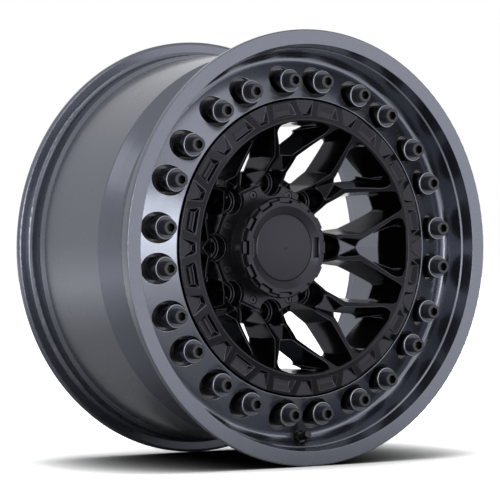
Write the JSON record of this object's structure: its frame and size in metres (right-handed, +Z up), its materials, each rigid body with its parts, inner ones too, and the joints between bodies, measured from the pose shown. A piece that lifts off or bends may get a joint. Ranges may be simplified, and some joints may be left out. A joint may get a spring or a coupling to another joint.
{
  "type": "car wheel",
  "caption": "Bare off-road alloy wheel with a deep-lipped grey rim, black V-spoke centre bolted to it through a ring of socket screws, notched centre cap and tyre valve.",
  "frame": {"origin": "on the wheel's axis, at the face that meets the vehicle's hub", "axes": "+Y along the axle from the wheel's outer face to the vehicle, +Z up, valve near the bottom"},
  "size_m": [0.543, 0.2732, 0.543],
  "materials": {
    "rim_paint": "satin gunmetal metallic paint on cast aluminium",
    "centre_paint": "satin black paint on cast aluminium",
    "bolt_black": "black oxide",
    "washer_metal": "grey zinc, semi-gloss",
    "cap_plastic": "satin black",
    "valve_black": "black anodised",
    "valve_cap": "black anodised, knurled",
    "seal_rubber": "matte",
    "core_brass": "turned",
    "spring_steel": "drawn wire"
  },
  "bodies": {
    "wheel": {"rim": "rim_paint", "centre": "centre_paint", "ring_bolts": "bolt_black", "ring_washers": "washer_metal", "cap_base": "cap_plastic", "cap_ring": "cap_plastic", "cap_disc": "cap_plastic", "cap_screws": "bolt_black", "valve_stem": "valve_black", "valve_grommet": "seal_rubber", "valve_washer": "valve_black", "valve_nut": "valve_black", "core_body": "core_brass", "core_seal": "seal_rubber", "core_spring": "spring_steel"},
    "valve_cap": {"valve_cap": "valve_cap", "valve_cap_seal": "seal_rubber"},
    "valve_pin": {"core_pin": "core_brass", "core_plug": "seal_rubber"}
  },
  "joints": [
    {"name": "valve_cap_off", "type": "slide", "parent": "wheel", "child": "valve_cap", "axis": [-0.0096, -0.9613, 0.2755], "range_m": [0, 0.014]},
    {"name": "valve_pin_press", "type": "slide", "parent": "wheel", "child": "valve_pin", "axis": [0.0096, 0.9613, -0.2755], "range_m": [0, 0.0015], "stiffness_N_per_m": 800, "springref_m": -0.0015, "deforming": ["core_spring"]}
  ]
}
